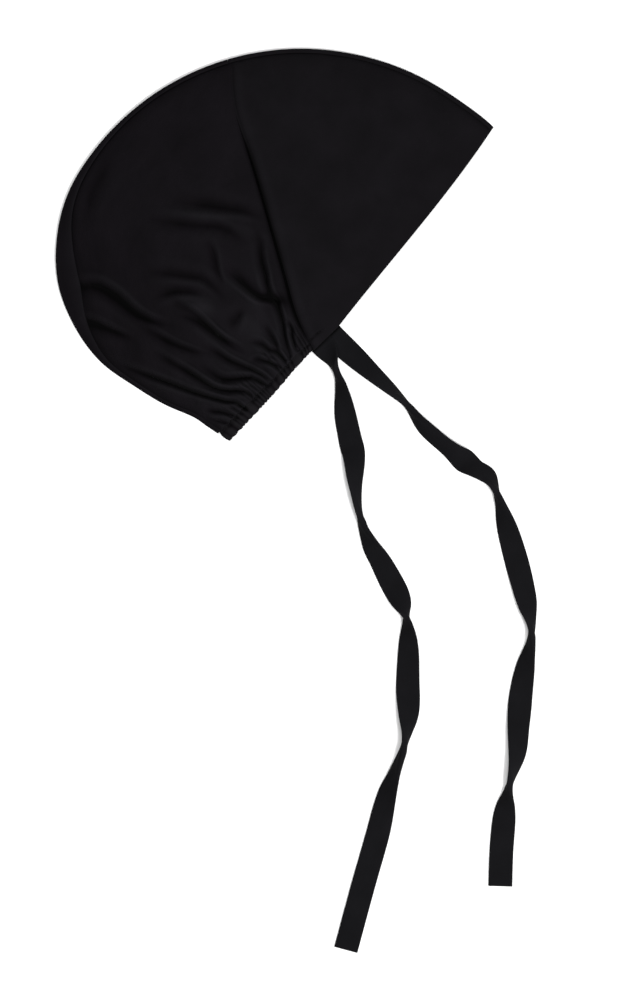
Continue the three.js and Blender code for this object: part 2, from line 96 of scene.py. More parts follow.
floor_material = plain_material("floor_white", FLOOR_COLOUR, FLOOR_ROUGHNESS, FLOOR_SPECULAR)
half_floor = FLOOR_SIZE / 2
floor_signs = ((-1, -1), (1, -1), (1, 1), (-1, 1))
floor_corners = [(x * half_floor, y * half_floor, -FLOOR_DROP) for x, y in floor_signs]
floor = mesh_piece("floor", floor_corners, [(0, 1, 2, 3)], floor_material)

for box in SOFTBOXES:
    light = bpy.data.lights.new(box["name"], "AREA")
    light.shape = "DISK"
    light.size = box["size"]
    light.energy = box["power"]
    softbox = bpy.data.objects.new(box["name"], light)
    bpy.context.collection.objects.link(softbox)
    softbox.location = box["place"]
    aim = -softbox.location.copy()
    softbox.rotation_euler = aim.to_track_quat("-Z", "Y").to_euler()

room = bpy.data.worlds.new("room")
room.use_nodes = True
room.node_tree.nodes["Background"].inputs["Color"].default_value = (1, 1, 1, 1)
room.node_tree.nodes["Background"].inputs["Strength"].default_value = ROOM_LIGHT
bpy.context.scene.world = room
bpy.context.scene.view_settings.view_transform = "Standard"

# Front panel, upper half: a smooth sector of thin black jersey from the face edge back to the
# panel seam. Its hem is folded and stitched at the tie corner, and its rear edge stands over the
# crown as a pleat.
CLOTH = 1.0
EDGE_ROUND = 0.6
SEWN_GAP = 0.4
FOLD_RADIUS = 1.0
CAP_TURN = math.radians(49.5)
CAP_PLACE = (52.15, 173.55)
FRONT_BOW = 2.3
HEM_FRONT = (-38.3, -9.0)
HEM_REAR = (-64.9, -6.5)
PANEL_LOFT = 6.0
CROWN_LOFT = 10.5
CROWN_MIDDLE = {"u": -88, "v": 92, "wide": 72, "long": 84}
FOLD_RUN = 34
CORNER_SINK = {"most": 0.45, "run": 46}
PLEAT_LIFT = {"flat": 0.4, "standing": 2.4}
PLEAT_STANDS = {"rises": (0, 0.12), "falls": (0.6, 0.88)}
EDGE_ROLL = {"most": 1.1, "run": 1.3}
PLEAT_RUN = 14
PANEL_ANGLE = 71.1
SEAM_TURN_IN = {"deep": 1.5, "run": 3.2}
FOLD_TOP = CLOTH / 2 + 2 * FOLD_RADIUS

# The cap's own plan, in mm: u runs along the face edge to its top end, and v from the open side to
# the fold. The fold outline is given by its reach at angles about the plan's origin, in degrees,
# and the centre seam by how far it lies inside that outline
OUTLINE = [
    (0, 163.9), (12, 166.0), (25, 172.0), (41, 182.2), (59, 197.0), (75, 211.6), (91, 226.6),
    (104, 237.9), (113, 244.4), (121, 245.6), (130, 242.2), (138, 232.8), (147, 217.8), (155, 198.7),
    (162, 184.8), (169, 171.5), (174, 167.5), (180, 164.2),
]
CENTRE_SEAM = [
    (0, 3.2), (90, 3.2), (105, 4.5), (116, 8.0), (131, 17.0), (141, 9.0), (151, 3.8), (180, 3.2),
]
SPLINE_STEPS = 40
PANEL_SEAM = [(-64.9, -6.5), (-53.6, 20.2), (-31.5, 53.2), (12.9, 119.5), (40.3, 165.0), (65.4, 191.1)]


def track(keys, values):
    """A smooth function that has the given values at its keys."""
    last = len(keys) - 1
    after = np.append(np.arange(1, last + 1), last)
    before = np.append(0, np.arange(last))
    slopes = (values[after] - values[before]) / (keys[after] - keys[before])

    def at(where):
        row = np.clip(np.searchsorted(keys, where) - 1, 0, last - 1)
        span = keys[row + 1] - keys[row]
        share = np.clip((where - keys[row]) / span, 0, 1)
        rise = values[row + 1] - values[row]
        start, end = slopes[row] * span, slopes[row + 1] * span
        cubic = share * (3 * rise - 2 * start - end + share * (start + end - 2 * rise))
        return values[row] + share * (start + cubic)

    return at


def smooth_step(x, low, high):
    part = np.clip((x - low) / (high - low), 0, 1)
    return part * part * (3 - 2 * part)


def window(x, rises, falls):
    """From 0 up to 1 over the one range of x, and back to 0 over the other."""
    return smooth_step(x, *rises) * (1 - smooth_step(x, *falls))


def bump(x, most, run, at=0):
    """The most at one place, running out smoothly on both sides of it."""
    return most * np.exp(-(((x - at) / run) ** 2))


def blend(start, end, share):
    return start + (end - start) * share


def spline(knots, count):
    """Points of a smooth line through the knots, at equal lengths along it."""
    knots = np.array(knots, float)
    padded = np.vstack([knots[:1], knots, knots[-1:]])
    share = np.linspace(0, 1, SPLINE_STEPS)[:, None]
    pieces = []
    for a, b, c, d in zip(padded, padded[1:], padded[2:], padded[3:]):
        start, end = (c - a) / 2, (d - b) / 2
        cubic = (2 * b - 2 * c + start + end) * share**3
        pieces.append(cubic + (3 * c - 3 * b - 2 * start - end) * share**2 + start * share + b)
    line = np.vstack(pieces)
    run = np.append(0, np.cumsum(np.linalg.norm(np.diff(line, axis=0), axis=1)))
    steps = np.linspace(0, run[-1], count)
    return np.stack([np.interp(steps, run, line[:, axis]) for axis in range(line.shape[1])], 1)


reach_at = track(*np.array(OUTLINE).T)
inset_at = track(*np.array(CENTRE_SEAM).T)


def upper_inset(angle):
    """Where an upper half ends, just inside the centre seam."""
    return inset_at(angle) + SEWN_GAP


def rim_point(angle):
    reach = reach_at(angle)
    turn = np.radians(angle)
    return np.stack([reach * np.cos(turn), reach * np.sin(turn)], -1)


def outline(angle, inset):
    """Points of the fold outline, moved inwards by inset."""
    along = rim_point(angle + 0.5) - rim_point(angle - 0.5)
    along /= np.linalg.norm(along, axis=-1, keepdims=True)
    inward = np.stack([-along[..., 1], along[..., 0]], -1)
    return rim_point(angle) + inward * np.asarray(inset)[..., None]


def edge_distance(u, v):
    """How far places lie inside the fold outline."""
    angle = np.where(v > 0, np.degrees(np.arctan2(v, u)), np.where(u > 0, 0, 180))
    reach = reach_at(angle)
    slope = (reach_at(angle + 0.5) - reach_at(angle - 0.5)) / math.radians(1)
    return np.maximum((reach - np.hypot(u, v)) * reach / np.hypot(reach, slope), 0)


def nearest(line, u, v):
    """Distance to a drawn line, the share of the line there, and the side, for many places."""
    best = np.full(np.shape(u), np.inf)
    share = np.zeros(np.shape(u))
    side = np.ones(np.shape(u))
    for number, (start, end) in enumerate(zip(line, line[1:])):
        du, dv = end - start
        part = np.clip(((u - start[0]) * du + (v - start[1]) * dv) / (du * du + dv * dv), 0, 1)
        distance = np.hypot(u - start[0] - part * du, v - start[1] - part * dv)
        closer = distance < best
        best = np.where(closer, distance, best)
        share = np.where(closer, (number + part) / (len(line) - 1), share)
        side = np.where(closer, np.sign(du * (v - start[1]) - dv * (u - start[0])), side)
    return best, share, side


panel_seam_line = spline(PANEL_SEAM, 60)


def seam_distance(u, v):
    """Distance from the panel seam: more than 0 over the crown, less than 0 over the panel."""
    distance, share, side = nearest(panel_seam_line, u, v)
    return distance * side


def loft(u, v):
    """Height of the upper layer's middle, from the fold outline up to the cap's full loft."""
    edge = np.maximum(edge_distance(u, v) - CLOTH / 2 - FOLD_RADIUS, 0)
    climb = 1 - (1 - np.minimum(edge / FOLD_RUN, 1)) ** 2
    across = (u - CROWN_MIDDLE["u"]) / CROWN_MIDDLE["wide"]
    along = (v - CROWN_MIDDLE["v"]) / CROWN_MIDDLE["long"]
    full = PANEL_LOFT + CROWN_LOFT * np.exp(-across * across - along * along)
    corner = np.hypot(u - HEM_REAR[0], v - HEM_REAR[1])
    return FOLD_TOP + climb * full * (1 - bump(corner, **CORNER_SINK))


def pleat_strength(u, v):
    """How far the pleat on the panel seam stands up: full in the middle, flat at its two ends."""
    return window(nearest(panel_seam_line, u, v)[1], **PLEAT_STANDS)


def panel_height(u, v):
    behind = np.clip(-seam_distance(u, v) / PLEAT_RUN, 0, 1)
    lift = blend(PLEAT_LIFT["flat"], PLEAT_LIFT["standing"], pleat_strength(u, v))
    return loft(u, v) + lift * (0.5 + 0.5 * np.cos(math.pi * behind))


def centre_distance(u, v):
    """Distance from the centre seam: more than 0 inside it, less than 0 between it and the fold."""
    angle = np.degrees(np.arctan2(np.maximum(v, 0), u))
    return edge_distance(u, v) - inset_at(angle)


def turned_in(u, v):
    """How far the cloth dips where it is turned into the centre seam."""
    return SEAM_TURN_IN["deep"] * np.exp(-np.abs(centre_distance(u, v)) / SEAM_TURN_IN["run"])


def turned_down(u, v):
    """How far the panel's edge rolls down into its seam."""
    return bump(np.maximum(-seam_distance(u, v), 0), **EDGE_ROLL)


def patch(near, far, first, last):
    """Places between four curves: s runs along near and far, t from near to far."""
    def bow(curve, t):
        start, end = curve(np.zeros(1)), curve(np.ones(1))
        return curve(t) - blend(start, end, t[:, None])

    def at(s, t):
        middle = blend(near(s), far(s), t[:, None])
        return middle + bow(first, t) * (1 - s[:, None]) + bow(last, t) * s[:, None]

    return at


def between(start, end):
    start, end = np.array(start, float), np.array(end, float)
    return lambda share: blend(start, end, share[:, None])


def along_line(line):
    """The drawn line as a function of the share of its length."""
    shares = np.linspace(0, 1, len(line))
    return lambda share: np.stack([np.interp(share, shares, line[:, axis]) for axis in (0, 1)], -1)


def front_line(share):
    """How far the face edge bows out, most of all at two thirds of its length."""
    return np.stack([0 * share, -27 / 4 * FRONT_BOW * share**2 * (1 - share)], -1)


def to_frame(points):
    """Points of the cap's plan, in mm, to the row's frame, in metres."""
    u, v, height = np.asarray(points, float).T
    cosine, sine = math.cos(CAP_TURN), math.sin(CAP_TURN)
    x = CAP_PLACE[0] + u * cosine - v * sine
    y = CAP_PLACE[1] + u * sine + v * cosine
    return MM * np.stack([x, y, height], 1)


def grid_faces(columns, rows, has_cell=None, name_of=None):
    """Quads over a grid, with the grid's corners that they use, each with one number."""
    numbers = {}
    faces = []
    for column in range(columns):
        for row in range(rows):
            if has_cell and not has_cell(column, row):
                continue
            face = []
            for corner in ((column, row), (column + 1, row), (column + 1, row + 1), (column, row + 1)):
                key = name_of(*corner) if name_of else corner
                face.append(numbers.setdefault(key, len(numbers)))
            faces.append(face)
    return np.array(list(numbers), float), np.array(faces)


def wall(points, faces):
    """A closed wall of cloth about its middle surface, with its free edges rounded."""
    corners = points[faces]
    face_normals = np.cross(corners[:, 2] - corners[:, 0], corners[:, 3] - corners[:, 1])
    normals = np.zeros_like(points)
    for step in range(4):
        np.add.at(normals, faces[:, step], face_normals)
    normals /= np.linalg.norm(normals, axis=1, keepdims=True)
    edges = np.vstack([faces[:, [step, (step + 1) % 4]] for step in range(4)])
    known = set(map(tuple, edges.tolist()))
    free = [(a, b) for a, b in edges.tolist() if (b, a) not in known]
    rim = {}
    outward = np.zeros_like(points)
    for a, b in free:
        push = np.cross(points[b] - points[a], normals[a])
        for end in (a, b):
            rim.setdefault(end, len(rim))
            outward[end] += push
    rim_numbers = list(rim)
    push = outward[rim_numbers]
    push /= np.linalg.norm(push, axis=1, keepdims=True)
    half = CLOTH / 2
    count = len(points)
    rim_points = points[rim_numbers] + push * half * EDGE_ROUND
    vertices = np.vstack([points + normals * half, points - normals * half, rim_points])
    quads = faces.tolist() + (faces[:, ::-1] + count).tolist()
    for a, b in free:
        rim_a, rim_b = 2 * count + rim[a], 2 * count + rim[b]
        quads += [(b, a, rim_a, rim_b), (rim_b, rim_a, a + count, b + count)]
    sources = np.concatenate([np.arange(count), np.arange(count), rim_numbers])
    return vertices, quads, sources


def outward_faces(piece):
    """Turns a closed piece's faces outwards."""
    shell = bmesh.new()
    shell.from_mesh(piece.data)
    bmesh.ops.recalc_face_normals(shell, faces=shell.faces)
    shell.to_mesh(piece.data)
    shell.free()


def closed_piece(name, points, faces, grain, painted_light, material):
    """A closed piece with its grain as a UV map in mm and its painted light, painted shade and highlights,
    as an attribute.
    """
    piece = mesh_piece(name, points, faces, material)
    outward_faces(piece)
    mesh = piece.data
    loops = np.zeros(len(mesh.loops), int)
    mesh.loops.foreach_get("vertex_index", loops)
    mesh.uv_layers.new(name="grain").data.foreach_set("uv", grain[loops].astype(float).ravel())
    mesh.attributes.new("painted_light", "FLOAT", "POINT").data.foreach_set("value", painted_light.astype(float))
    return piece


def cloth_piece(name, points, faces, grain, painted_light, material):
    """A piece with the cloth's thickness about the points of its middle surface."""
    vertices, quads, sources = wall(points, faces)
    return closed_piece(name, to_frame(vertices), quads, grain[sources], painted_light[sources], material)


class Value:
    """A value in a material's tree, so that its sums are written as sums."""

    def __init__(self, tree, socket):
        self.tree = tree
        self.socket = socket

    def node(self, kind, settings=None, inputs=None, output=0):
        made = self.tree.nodes.new(kind)
        for name, setting in (settings or {}).items():
            setattr(made, name, setting)
        for name, value in (inputs or {}).items():
            if isinstance(value, Value):
                self.tree.links.new(value.socket, made.inputs[name])
            else:
                made.inputs[name].default_value = value
        return Value(self.tree, made.outputs[output])

    def maths(self, operation, *others):
        return self.node("ShaderNodeMath", {"operation": operation}, dict(enumerate((self, *others))))

    def __add__(self, other):
        return self.maths("ADD", other)

    def __mul__(self, other):
        return self.maths("MULTIPLY", other)

    def __sub__(self, other):
        return self.maths("SUBTRACT", other)

    def __truediv__(self, other):
        return self.maths("DIVIDE", other)

    def __rsub__(self, other):
        return self * -1 + other


# The jersey's finish: sizes of its pattern in mm of the cloth's grain, or as patches in each mm
ROUGHNESS = 0.85
SPECULAR = 0.045
SHEEN = {"weight": 0.006, "roughness": 0.5}
KNIT = {"wale": 0.9, "course": 0.7, "deep": 0.05 * MM, "stitch": 0.25, "rib": 0.5}
PILLS = {"per_mm": 0.8, "deep": 0.04 * MM}
CRINKLES_PER_MM = 0.11
MOTTLE = {"per_mm": 0.035, "strength": 0.7}
LINT = {"per_mm": 0.075, "radius": 0.04, "pale": 0.5}
# The share of the lit copy where nothing is painted, and the least of the black that painted shade leaves
LIT_SHARE = 0.7
DARKEST_PAINTED_SHADE = 0.1


def jersey(name, shaded, lit, crinkle_depth):
    """Fine black jersey: knitted wales and courses, soft crinkles, lint, painted highlights and shade."""
    material = bpy.data.materials.new(name)
    material.use_nodes = True
    tree = material.node_tree
    shader = tree.nodes["Principled BSDF"]
    shader.inputs["Roughness"].default_value = ROUGHNESS
    shader.inputs["Specular IOR Level"].default_value = SPECULAR
    shader.inputs["Sheen Weight"].default_value = SHEEN["weight"]
    shader.inputs["Sheen Roughness"].default_value = SHEEN["roughness"]
    cloth = Value(tree, None)
    grain = cloth.node("ShaderNodeUVMap", {"uv_map": "grain"})
    along = cloth.node("ShaderNodeSeparateXYZ", None, {"Vector": grain}, 0)
    across = cloth.node("ShaderNodeSeparateXYZ", None, {"Vector": grain}, 1)
    # Each wale is a row of V stitches: leg runs from 0 at its middle to 1 at its two edges
    leg = ((along / KNIT["wale"]).maths("FRACT") - 0.5).maths("ABSOLUTE") * 2
    stitch = ((across / KNIT["course"] + leg * 0.5) * (2 * math.pi)).maths("SINE")
    knit = stitch * KNIT["stitch"] + (1 - leg * leg) * KNIT["rib"]

    def noise(per_mm, detail):
        inputs = {"Vector": grain, "Scale": per_mm, "Detail": detail}
        return cloth.node("ShaderNodeTexNoise", {"noise_dimensions": "2D"}, inputs)

    dots = cloth.node("ShaderNodeTexVoronoi", {"voronoi_dimensions": "2D"},
                      {"Vector": grain, "Scale": LINT["per_mm"]})
    lint = 1 - (dots / LINT["radius"]).maths("MINIMUM", 1)
    # Painted light from the attribute: it makes the black darker in painted shade and paler in painted
    # highlights
    painted_light = cloth.node("ShaderNodeAttribute", {"attribute_name": "painted_light"}, None, 2)
    mottle = (noise(MOTTLE["per_mm"], 4) - 0.5) * MOTTLE["strength"]
    gain = (painted_light + 1 + mottle + lint * LINT["pale"]).maths("MAXIMUM", DARKEST_PAINTED_SHADE)
    # Painted light also mixes each black from its shaded copy to its lit copy
    mixed = cloth.node("ShaderNodeMix", {"data_type": "RGBA"},
                       {"Factor": painted_light + LIT_SHARE, 6: (*shaded, 1), 7: (*lit, 1)}, 2)
    black = cloth.node("ShaderNodeVectorMath", {"operation": "SCALE"}, {0: mixed, "Scale": gain})
    tree.links.new(black.socket, shader.inputs["Base Color"])
    height = knit * KNIT["deep"] + noise(CRINKLES_PER_MM, 3) * crinkle_depth
    height = height + noise(PILLS["per_mm"], 2) * PILLS["deep"]
    raised = cloth.node("ShaderNodeBump", None, {"Height": height, "Distance": 1.0, "Strength": 1.0})
    tree.links.new(raised.socket, shader.inputs["Normal"])
    return material


HEM_FOLD = [(-62.4, 0.9), (-56.5, 0.3), (-50.5, -0.8), (-45.5, -3.0)]
HEM_ENDS = {"rises": (0, 0.08), "falls": (0.5, 1)}
HEM_GROOVE = {"most": 1.0, "run": 0.8}
HEM_PUFF = {"high": 0.5, "from": (0.3, 2), "run": 4}
HEM_SHADE = {"dark": 0.9, "pale": 0.3}
# Shaded and lit copies of the panel's black, for its painted shade and painted light
PANEL_SHADED = (0.0036, 0.0029, 0.0038)
PANEL_LIT_BLACK = (0.0037, 0.0033, 0.0041)
PANEL_COLUMNS = 150
PANEL_ROWS = 150
PANEL_CROWDING = 1.5
PANEL_CRINKLES = 0.3 * MM
# Painted shadow under the pleat's edge, a painted highlight beside it, painted shade at the centre seam
SEAM_SHADE = {"dark": 0.75, "run": 1.4}
SEAM_RIDGE_HIGHLIGHT = {"most": 0.2, "at": 5, "run": 3}
CENTRE_SHADE = {"most": 0.15, "run": 2.5}

panel_jersey = jersey("panel_jersey", PANEL_SHADED, PANEL_LIT_BLACK, PANEL_CRINKLES)


def panel_share(column):
    """The panel's columns crowd towards its seam, where the pleat stands up."""
    return 1 - (1 - column / PANEL_COLUMNS) ** PANEL_CROWDING


def panel_plan(inset_of, edge_back):
    near = between((HEM_FRONT[0], HEM_FRONT[1] + edge_back), (HEM_REAR[0], HEM_REAR[1] + edge_back))

    def far(s):
        back = np.stack([0 * s, edge_back * (1 - s)], -1)
        return outline(s * PANEL_ANGLE, inset_of(s * PANEL_ANGLE)) + back

    return patch(near, far, front_line, along_line(panel_seam_line))


hem_fold_line = spline(HEM_FOLD, 30)


def hem_relief(u, v):
    """The folded hem at the tie corner: a stitched groove with the folded cloth puffed up below it."""
    distance, share, side = nearest(hem_fold_line, u, v)
    below = smooth_step(-distance * side, *HEM_PUFF["from"]) * np.exp(-distance / HEM_PUFF["run"])
    return (HEM_PUFF["high"] * below - bump(distance, **HEM_GROOVE)) * window(share, **HEM_ENDS)


def front_panel_upper():
    plan = panel_plan(upper_inset, 0)
    corners, faces = grid_faces(PANEL_COLUMNS, PANEL_ROWS)
    places = plan(panel_share(corners[:, 0]), corners[:, 1] / PANEL_ROWS)
    u, v = places.T
    hem = hem_relief(u, v)
    height = panel_height(u, v) - turned_in(u, v) - turned_down(u, v) + hem
    points = np.column_stack([u, v, height])
    beside = -seam_distance(u, v)
    # Painted highlight beside the seam, painted shadow under the pleat's edge, painted shade at the centre
    # seam
    painted_light = bump(beside, **SEAM_RIDGE_HIGHLIGHT)
    painted_light -= SEAM_SHADE["dark"] * pleat_strength(u, v) * np.exp(-beside / SEAM_SHADE["run"])
    painted_light -= bump(centre_distance(u, v), **CENTRE_SHADE)
    # Painted shade in the hem's groove and a painted highlight on its puff
    painted_light += np.where(hem < 0, HEM_SHADE["dark"], HEM_SHADE["pale"]) * hem
    return cloth_piece("front_panel_upper_cloth", points, faces, places, painted_light, panel_jersey)


upper_panel = front_panel_upper()
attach(upper_panel, "root")
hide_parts("front_panel_upper")

# Hem stitches: a short row of black thread along the folded hem at the tie corner, a lockstitch
# pulled into the cloth, so that each stitch is a small rounded thread in the groove.
THREAD_BLACK = (0.0062, 0.0056, 0.0066, 1)
THREAD_ROUGHNESS = 0.6
THREAD_SPECULAR = 0.1
STITCH = {"Step": 2.6 * MM, "Length": 2.0 * MM, "Thickness": 0.36 * MM, "Wobble": 0.06}

thread = plain_material("sewing_thread", THREAD_BLACK, THREAD_ROUGHNESS, THREAD_SPECULAR)


def stitch_tree():
    """A Geometry Nodes tree: one thread at each step of a line, turned to follow it."""
    tree = bpy.data.node_groups.new("stitches_along_line", "GeometryNodeTree")
    tree.interface.new_socket("Line", in_out="INPUT", socket_type="NodeSocketGeometry")
    for name in STITCH:
        tree.interface.new_socket(name, in_out="INPUT", socket_type="NodeSocketFloat")
    tree.interface.new_socket("Seed", in_out="INPUT", socket_type="NodeSocketInt")
    tree.interface.new_socket("Material", in_out="INPUT", socket_type="NodeSocketMaterial")
    tree.interface.new_socket("Stitches", in_out="OUTPUT", socket_type="NodeSocketGeometry")
    given = tree.nodes.new("NodeGroupInput").outputs
    asked = Value(tree, None)

    def of(name):
        return Value(tree, given[name])

    curve = asked.node("GeometryNodeMeshToCurve", None, {"Mesh": of("Line")})
    steps = asked.node("GeometryNodeResampleCurve", {"mode": "LENGTH"},
                       {"Curve": curve, "Length": of("Step")})
    sphere = asked.node("GeometryNodeMeshUVSphere", None, {"Segments": 6, "Rings": 4, "Radius": 0.5})
    size = asked.node("ShaderNodeCombineXYZ", None,
                      {"X": of("Thickness"), "Y": of("Thickness"), "Z": of("Length")})
    stitch = asked.node("GeometryNodeTransform", None, {"Geometry": sphere, "Scale": size})
    tangent = asked.node("GeometryNodeInputTangent")
    shake = asked.node("FunctionNodeRandomValue", {"data_type": "FLOAT_VECTOR"},
                       {0: (-1, -1, -1), 1: (1, 1, 1), "Seed": of("Seed")})
    wobble = asked.node("ShaderNodeVectorMath", {"operation": "SCALE"}, {0: shake, "Scale": of("Wobble")})
    ahead = asked.node("ShaderNodeVectorMath", {"operation": "ADD"}, {0: tangent, 1: wobble})
    turned = asked.node("FunctionNodeAlignRotationToVector", {"axis": "Z"}, {"Vector": ahead})
    set_along = asked.node("GeometryNodeInstanceOnPoints", None,
                           {"Points": steps, "Instance": stitch, "Rotation": turned})
    real = asked.node("GeometryNodeRealizeInstances", None, {"Geometry": set_along})
    dressed = asked.node("GeometryNodeSetMaterial", None, {"Geometry": real, "Material": of("Material")})
    tree.links.new(dressed.socket, tree.nodes.new("NodeGroupOutput").inputs["Stitches"])
    return tree


stitches_along_line = stitch_tree()


def stitches(name, points, seed):
    """A row of stitches along the points, made once by the tree and kept as a plain mesh."""
    line = bpy.data.meshes.new(name + "_line")
    links = [(number, number + 1) for number in range(len(points) - 1)]
    line.from_pydata([tuple(point) for point in points], links, [])
    piece = bpy.data.objects.new(name, line)
    bpy.context.collection.objects.link(piece)
    sewing = piece.modifiers.new("sewing", "NODES")
    sewing.node_group = stitches_along_line
    values = {**STITCH, "Seed": seed, "Material": thread}
    for item in stitches_along_line.interface.items_tree:
        if item.in_out == "INPUT" and item.name in values:
            sewing[item.identifier] = values[item.name]
    bpy.context.view_layer.update()
    made = bpy.data.meshes.new_from_object(piece.evaluated_get(bpy.context.evaluated_depsgraph_get()))
    piece.modifiers.clear()
    piece.data = made
    made.polygons.foreach_set("use_smooth", [True] * len(made.polygons))
    outward_faces(piece)
    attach(piece, "root")


hem_run = hem_fold_line[3:-2]
hem_top = panel_height(*hem_run.T) + hem_relief(*hem_run.T) + CLOTH / 2
stitches("hem_stitches", to_frame(np.column_stack([hem_run, hem_top])), seed=3)

# Front panel, under half: the same jersey, flat on the surface. It goes round the fold outline
# and over the upper side as far as the centre seam that joins the two halves.
BEND_ROWS = 12
OVER_ROWS = 5
WRAP_ROWS = BEND_ROWS + OVER_ROWS
BEND_INSET = CLOTH / 2 + FOLD_RADIUS
UNDER_EDGE_BACK = 0.2
ROLL_OUT = 0.1
WRAP_DIP = 0.3
WRAP_GRAIN = 0.4
UNDER_PANEL_ROWS = 60


def under_inset(angle):
    """Where an under half starts to go round the fold."""
    return np.full(np.shape(angle), BEND_INSET)


def wrap_point(angle, row, height_at):
    """Round the fold outline and over to the centre seam."""
    bend = math.pi * np.minimum(row / BEND_ROWS, 1)
    over = np.maximum((row - BEND_ROWS) / OVER_ROWS, 0)
    bent = BEND_INSET - (FOLD_RADIUS + ROLL_OUT) * np.sin(bend)
    inset = np.where(row <= BEND_ROWS, bent, blend(BEND_INSET, inset_at(angle), over))
    u, v = outline(angle, inset).T
    dip = WRAP_DIP * np.exp(-(1 - over) * (inset_at(angle) - BEND_INSET))
    over_height = height_at(u, v) - dip * (over > 0)
    height = np.where(row <= BEND_ROWS, BEND_INSET - FOLD_RADIUS * np.cos(bend), over_height)
    return np.column_stack([u, v, height])


def front_panel_under():
    plan = panel_plan(under_inset, UNDER_EDGE_BACK)
    corners, faces = grid_faces(PANEL_COLUMNS // 2, UNDER_PANEL_ROWS + WRAP_ROWS)
    column, row = corners.T
    share = panel_share(column * 2)
    u, v = plan(share, np.minimum(row / UNDER_PANEL_ROWS, 1)).T
    flat = np.column_stack([u, v, np.full(len(u), CLOTH / 2)])
    wrapped = wrap_point(share * PANEL_ANGLE, np.maximum(row - UNDER_PANEL_ROWS, 0), panel_height)
    wrapped[:, 1] += UNDER_EDGE_BACK * (1 - share)
    points = np.where((row > UNDER_PANEL_ROWS)[:, None], wrapped, flat)
    run = np.maximum(row - UNDER_PANEL_ROWS, 0) * WRAP_GRAIN
    grain = np.column_stack([points[:, 0], -points[:, 1] + run])
    painted_light = np.zeros(len(points))
    return cloth_piece("front_panel_under_cloth", points, faces, grain, painted_light, panel_jersey)


under_panel = front_panel_under()
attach(under_panel, "root")
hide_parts("front_panel_under")

# Crown, upper half: a large piece of the same jersey, gathered by the nape's elastic into pleats
# that run out into long soft folds, and sewn under the front panel's edge.
TUCK = 3.0
TUCK_RUN = 1.8
TUCK_GAP = 1.5 * SEWN_GAP
PLEAT_DIPS = [{"most": 1.4, "at": 7, "run": 6}, {"most": 5.0, "at": 1, "run": 2.6}]
GATHERS = 22
GATHER_HEIGHT = 1.9
GATHER_SIZE = {"middle": 0.75, "range": 0.25, "waves": [(17, 2), (41, 0)]}
GATHER_RUN = {"least": 0.084, "more": 0.072}
GATHER_MIDDLE = 1.1
GATHERED = {"rises": (0, 0.1), "falls": (0.9, 1)}
UNEVEN = [(0.03, 9.0, 1.3), (0.022, 23.0, 0), (0.006, 61.0, 0)]
PLEAT_ROUND = 0.02
CORNER_ANGLE = 152
NAPE_ANGLE = 177
NAPE_TIP = (-164.2, -1.0)
CASING_START = 2
CASING_WIDTH = 6.4
CASING_SAG = {"deep": 1.4, "over": (0.15, 0.5)}
CASING_WAVE = 0.8
CASING_WAVES = {"rises": (0, 0.05), "falls": (0.9, 1)}
CASING_GAP = 0.06

# Each fold has a width, a depth, a lean and the line of its valley on the plan. The cloth on the side
# that it leans to stands higher. Loose folds run out in the cloth, and sewn ones end at the casing
LOOSE_FOLDS = [
    (4.2, 3.5, -0.6, [(-49, 159), (-37, 140), (-25, 121), (-17, 108), (-11, 92)]),
    (3.6, 3.0, 0.4, [(-73, 166), (-62, 148), (-50, 130), (-39, 115), (-36, 100), (-36, 89)]),
    (2.8, 3.0, 0.6, [(-53, 119), (-58, 106), (-68, 92), (-73, 81)]),
    (3.4, 6.4, -0.6, [(-61, 92), (-62, 72), (-62, 57), (-57, 46), (-50, 36)]),
    (3.2, 3.0, -0.4, [(-106, 139), (-95, 123), (-85, 107), (-80, 99), (-79, 87), (-81, 72)]),
    (3.2, 3.2, -0.5, [(-118, 119), (-107, 112), (-97, 103), (-88, 88)]),
    (2.4, 4.4, 0.5, [(-109, 110), (-107, 96), (-105, 82), (-105, 69), (-106, 50), (-103, 33)]),
    (2.2, 4.0, 0.4, [(-116, 97), (-109, 82), (-106, 62), (-103, 46), (-101, 34)]),
    (3.8, 6.4, 0.45, [(-158, 177), (-140, 161), (-135, 143), (-135, 124), (-132, 108), (-124, 92)]),
    (2.6, 3.6, 0.5, [(-142, 118), (-139, 104), (-134, 82), (-127, 64), (-121, 56)]),
    (3.2, 3.8, 0.5, [(-172, 158), (-163, 142), (-158, 127), (-152, 108)]),
    (3.6, 2.6, -0.4, [(-97, 56), (-86, 57), (-76, 58)]),
    (5.0, 1.8, 0, [(-45, 215), (-67, 214), (-88, 209), (-107, 197)]),
]
